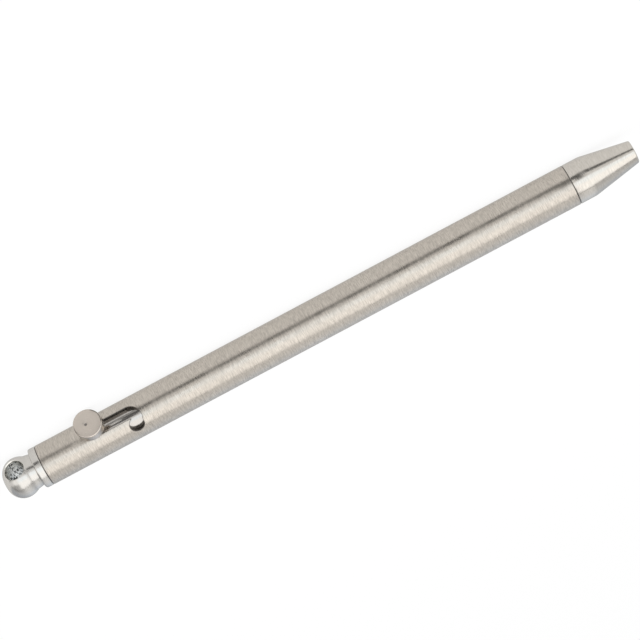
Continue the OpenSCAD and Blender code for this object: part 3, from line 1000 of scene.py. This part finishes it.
def table_material(dim):
    """White table that keeps a share of the pen's shadow."""
    material = bpy.data.materials.new("White table")
    tree = emptied(material)
    paper = add(tree, "BsdfDiffuse", {"Color": (0.95, 0.95, 0.95, 1)})
    rays = add(tree, "LightPath").outputs
    mirrored = calc(tree, "MAXIMUM", rays["Is Glossy Ray"],
                    rays["Is Transmission Ray"])
    seen = calc(tree, "MAXIMUM", rays["Is Camera Ray"], mirrored)
    white = add(tree, "Emission", {"Strength": 1.0})
    mix = add(tree, "MixShader", {"Fac": calc(tree, "MULTIPLY", seen, 1 - dim),
                                  1: paper.outputs[0], 2: white.outputs[0]})
    add(tree, "OutputMaterial", {"Surface": mix.outputs[0]})
    return material


def card_material(name, shades, fade=None, cool=None):
    """Plain card that only the metal mirrors. shades are its greys at places along the
    pen, fade is an axis and where along it the card begins to show and is solid, and
    cool is where across the pen a tint begins and is full, with the tint."""
    material = bpy.data.materials.new(name)
    tree = emptied(material)
    place = add(tree, "TexCoord").outputs["Object"]
    split = add(tree, "SeparateXYZ", {"Vector": place}).outputs
    low, high = shades[0][0], shades[-1][0]
    ramp = add(tree, "ValToRGB", {"Fac": spread(tree, split["X"], low, high)})
    points = ramp.color_ramp.elements
    while len(points) < len(shades):
        points.new(0.5)
    for point, (where, _) in zip(points, shades):
        point.position = (where - low) / max(high - low, MM)
    for point, (_, grey) in zip(points, shades):
        point.color = (grey, grey, grey, 1)
    lit = ramp.outputs["Color"]
    if cool:
        begins, full, tint = cool
        lit = mixed(tree, spread(tree, split["Y"], begins, full), lit, tint, "MULTIPLY")
    shown = add(tree, "Emission", {"Color": lit}).outputs[0]
    if fade:
        axis, clear_at, solid_at = fade
        clear = add(tree, "BsdfTransparent").outputs[0]
        solid = spread(tree, split[axis], clear_at, solid_at)
        shown = add(tree, "MixShader", {"Fac": solid, 1: clear, 2: shown}).outputs[0]
    add(tree, "OutputMaterial", {"Surface": shown})
    return material


def card(name, material, x0, x1, start, end, unit=1):
    """A flat card that only the metal mirrors. It reaches from x0 to x1 along the pen,
    and from start to end, both (y, z), across it."""
    bm = bmesh.new()
    bm.faces.new([bm.verts.new((x * unit, y * unit, z * unit)) for x, (y, z) in
                  ((x0, start), (x1, start), (x1, end), (x0, end))])
    mesh = mesh_of(bm, name)
    mesh.materials.append(material)
    piece = placed(name, mesh)
    for ray in ("camera", "diffuse", "shadow", "transmission"):
        setattr(piece, "visible_" + ray, False)


def near_cards():
    """Dark cards close to the pen, in millimetres, that draw lines on the steel."""
    floor = 0.05
    dark = card_material("Dark strip", ((-0.12, 0.15), (0.12, 0.15)))
    # The thin line along the whole pen, with a gap where the knob's face looks
    card("strip_nose_side", dark, -120, 31.6, (-6, floor), (-19, floor), MM)
    card("strip_tail_side", dark, 38.4, 120, (-6, floor), (-19, floor), MM)
    # The plunger where it shows through the slot's run
    card("strip_slot", dark, 29.5, 34.5, (-12, floor), (-30, 3.2), MM)
    grey = card_material("Grey strip", ((0.0286, 0.5), (0.0306, 0.42), (0.0336, 0.36)))
    card("strip_run", grey, 28.6, 33.6, (-6, floor), (-3.1, floor), MM)
    # The wide feathered line on the nose's ring
    feathered = card_material("Ring strip", ((-0.0422, 0.9), (-0.0408, 0.4),
                                             (-0.0398, 0.05), (-0.038, 0.02)),
                              ("Z", 4.9 * MM, 3.2 * MM))
    card("strip_ring", feathered, -38.3, -42.2, (-7, floor), (-7, 5.0), MM)


def ceiling_cards():
    """Cards over the pen, in metres, that shade the white room towards both ends."""
    tint = (0.0, 0.7, (0.93, 1.0, 1.1))
    over = card_material("Shaded ceiling",
                         ((-0.6, 0.62), (-0.24, 0.68), (-0.1, 1.05), (0.04, 1.05),
                          (0.22, 0.66), (0.42, 0.46), (0.75, 0.32), (3.0, 0.32)),
                         ("Y", -0.18, -0.12), tint)
    card("ceiling", over, -1.5, 3.0, (-0.18, CEILING), (0.12, CEILING))
    rear = card_material("Rear ceiling",
                         ((-0.6, 0.72), (-0.24, 0.78), (-0.1, 1.03), (0.04, 1.03),
                          (0.3, 0.76), (0.8, 0.6), (3.0, 0.58)), cool=tint)
    card("rear_ceiling", rear, -1.5, 3.0, (0.12, CEILING), (1.6, CEILING))
    back = card_material("Back wall", ((-3.0, 0.8), (0.0, 0.8), (0.8, 0.5), (3.0, 0.5)),
                         cool=(0.0, 0.7, (0.95, 1.0, 1.06)))
    card("back_ceiling", back, -3.0, 3.0, (1.6, CEILING), (4.0, CEILING))
    rim = card_material("Softbox frame", ((-1, 0.1), (1, 0.1)))
    under = CEILING - 0.01
    card("softbox_frame", rim, *BOX_X, (-0.172, under), (-0.135, under))
    wing = card_material("Shaded wing", ((0.3, 0.6), (1.5, 0.4)), ("X", 0.22, 0.65))
    under = CEILING - 0.02
    card("ceiling_wing", wing, 0.22, 1.5, (-0.6, under), (-0.16, under))


def softbox(name, low, high, x0, x1, glow, tint=(1, 1, 1)):
    """A soft lamp that fills the view from the pen between two angles over the horizon
    on the camera's side, and between two places along the pen, in metres."""
    def spot(angle):
        return Vector((0, -cos(angle), sin(angle))) * BOX_DISTANCE
    bottom, top = spot(radians(low)), spot(radians(high))
    light = bpy.data.lights.new(name, "AREA")
    light.shape = "RECTANGLE"
    light.size = x1 - x0
    light.color = tint
    light.size_y = (top - bottom).length
    light.energy = glow * pi * light.size * light.size_y
    up = (top - bottom).normalized()
    right = Vector((1, 0, 0))
    middle = (top + bottom) / 2 + Vector(((x0 + x1) / 2, 0, 0))
    placed(name, light).matrix_world = Matrix.Translation(middle) @ Matrix(
        (right, up, right.cross(up))).transposed().to_4x4()


def camera(stage):
    """The camera, which has the pen's axis at the photo's tilt."""
    view = bpy.data.cameras.new("Camera")
    view.lens = stage.lens
    view.clip_start = 0.01
    view.clip_end = 20
    up_angle, side, roll = stage.view_up, stage.view_side, stage.view_roll
    away = Vector((-sin(side), -cos(up_angle) * cos(side),
                   sin(up_angle) * cos(side)))
    along = Vector((-1, 0, 0))
    along = (along - along.dot(away) * away).normalized()
    across = away.cross(along)
    right = along * cos(roll) - across * sin(roll)
    top = along * sin(roll) + across * cos(roll)
    middle = Vector((0, AXIS_Y * MM, AXIS_Z * MM))
    shift_right, shift_down = VIEW_SHIFT
    aim = middle + right * shift_right * MM - top * shift_down * MM
    turn = Matrix((right, top, away)).transposed().to_4x4()
    holder = placed("Camera", view)
    holder.matrix_world = Matrix.Translation(aim + away * stage.view_dist) @ turn
    return holder


class PEN_OT_stage(bpy.types.Operator):
    """Build the white table, the soft lights and the camera"""
    bl_idname = "pen.stage"
    bl_label = "Stage"

    def execute(self, context):
        stage = context.scene.pen_stage
        bm = bmesh.new()
        bmesh.ops.create_grid(bm, x_segments=1, y_segments=1, size=3.0)
        mesh = mesh_of(bm, "table")
        mesh.materials.append(table_material(stage.table_shade))
        placed("table", mesh)
        near_cards()
        glow = stage.softbox_glow
        softbox("Cool softbox", 9.6, 32, *BOX_X, glow, (0.86, 1.0, 1.12))
        softbox("Softbox", 32, 74, *BOX_X, glow * 1.04, (1.0, 0.995, 0.99))
        softbox("Low softbox", 8, 42, BOX_X[1], 1.3, 0.4)
        ceiling_cards()

        world = bpy.data.worlds.new("White room")
        tree = emptied(world)
        room = add(tree, "Background", {"Color": (1, 1, 1, 1), "Strength": 1.0})
        add(tree, "OutputWorld", {"Surface": room.outputs[0]})
        context.scene.world = world
        context.scene.camera = camera(stage)
        context.scene.view_settings.view_transform = "Standard"
        return {"FINISHED"}


# Panel and main

STEPS = ("barrel", "nose_cone", "tail_cap", "bolt", "refill", "spring", "stage")
SETTINGS = {"pen_sizes": PenSizes, "pen_colours": PenColours, "pen_stage": PenStage}


class PEN_PT_sidebar(bpy.types.Panel):
    """Lists the pen's pieces in the order they are built"""
    bl_idname = "PEN_PT_sidebar"
    bl_label = "Keychain Ballpoint Pen"
    bl_space_type = "VIEW_3D"
    bl_region_type = "UI"
    bl_category = "Pen"

    def draw(self, context):
        for step in STEPS:
            self.layout.operator(f"pen.{step}")
        for name in SETTINGS:
            group = getattr(context.scene, name)
            box = self.layout.box()
            for key in group.bl_rna.properties.keys():
                if key not in ("rna_type", "name"):
                    box.prop(group, key)


CLASSES = (*SETTINGS.values(), PEN_OT_barrel, PEN_OT_nose_cone, PEN_OT_tail_cap,
           PEN_OT_bolt, PEN_OT_refill, PEN_OT_spring, PEN_OT_stage, PEN_PT_sidebar)


def register():
    for item in CLASSES:
        bpy.utils.register_class(item)
    for name, kind in SETTINGS.items():
        setattr(bpy.types.Scene, name, PointerProperty(type=kind))


def unregister():
    for name in SETTINGS:
        delattr(bpy.types.Scene, name)
    for item in reversed(CLASSES):
        bpy.utils.unregister_class(item)


def main():
    register()
    for step in STEPS:
        getattr(bpy.ops.pen, step)()


if __name__ == "__main__":
    main()
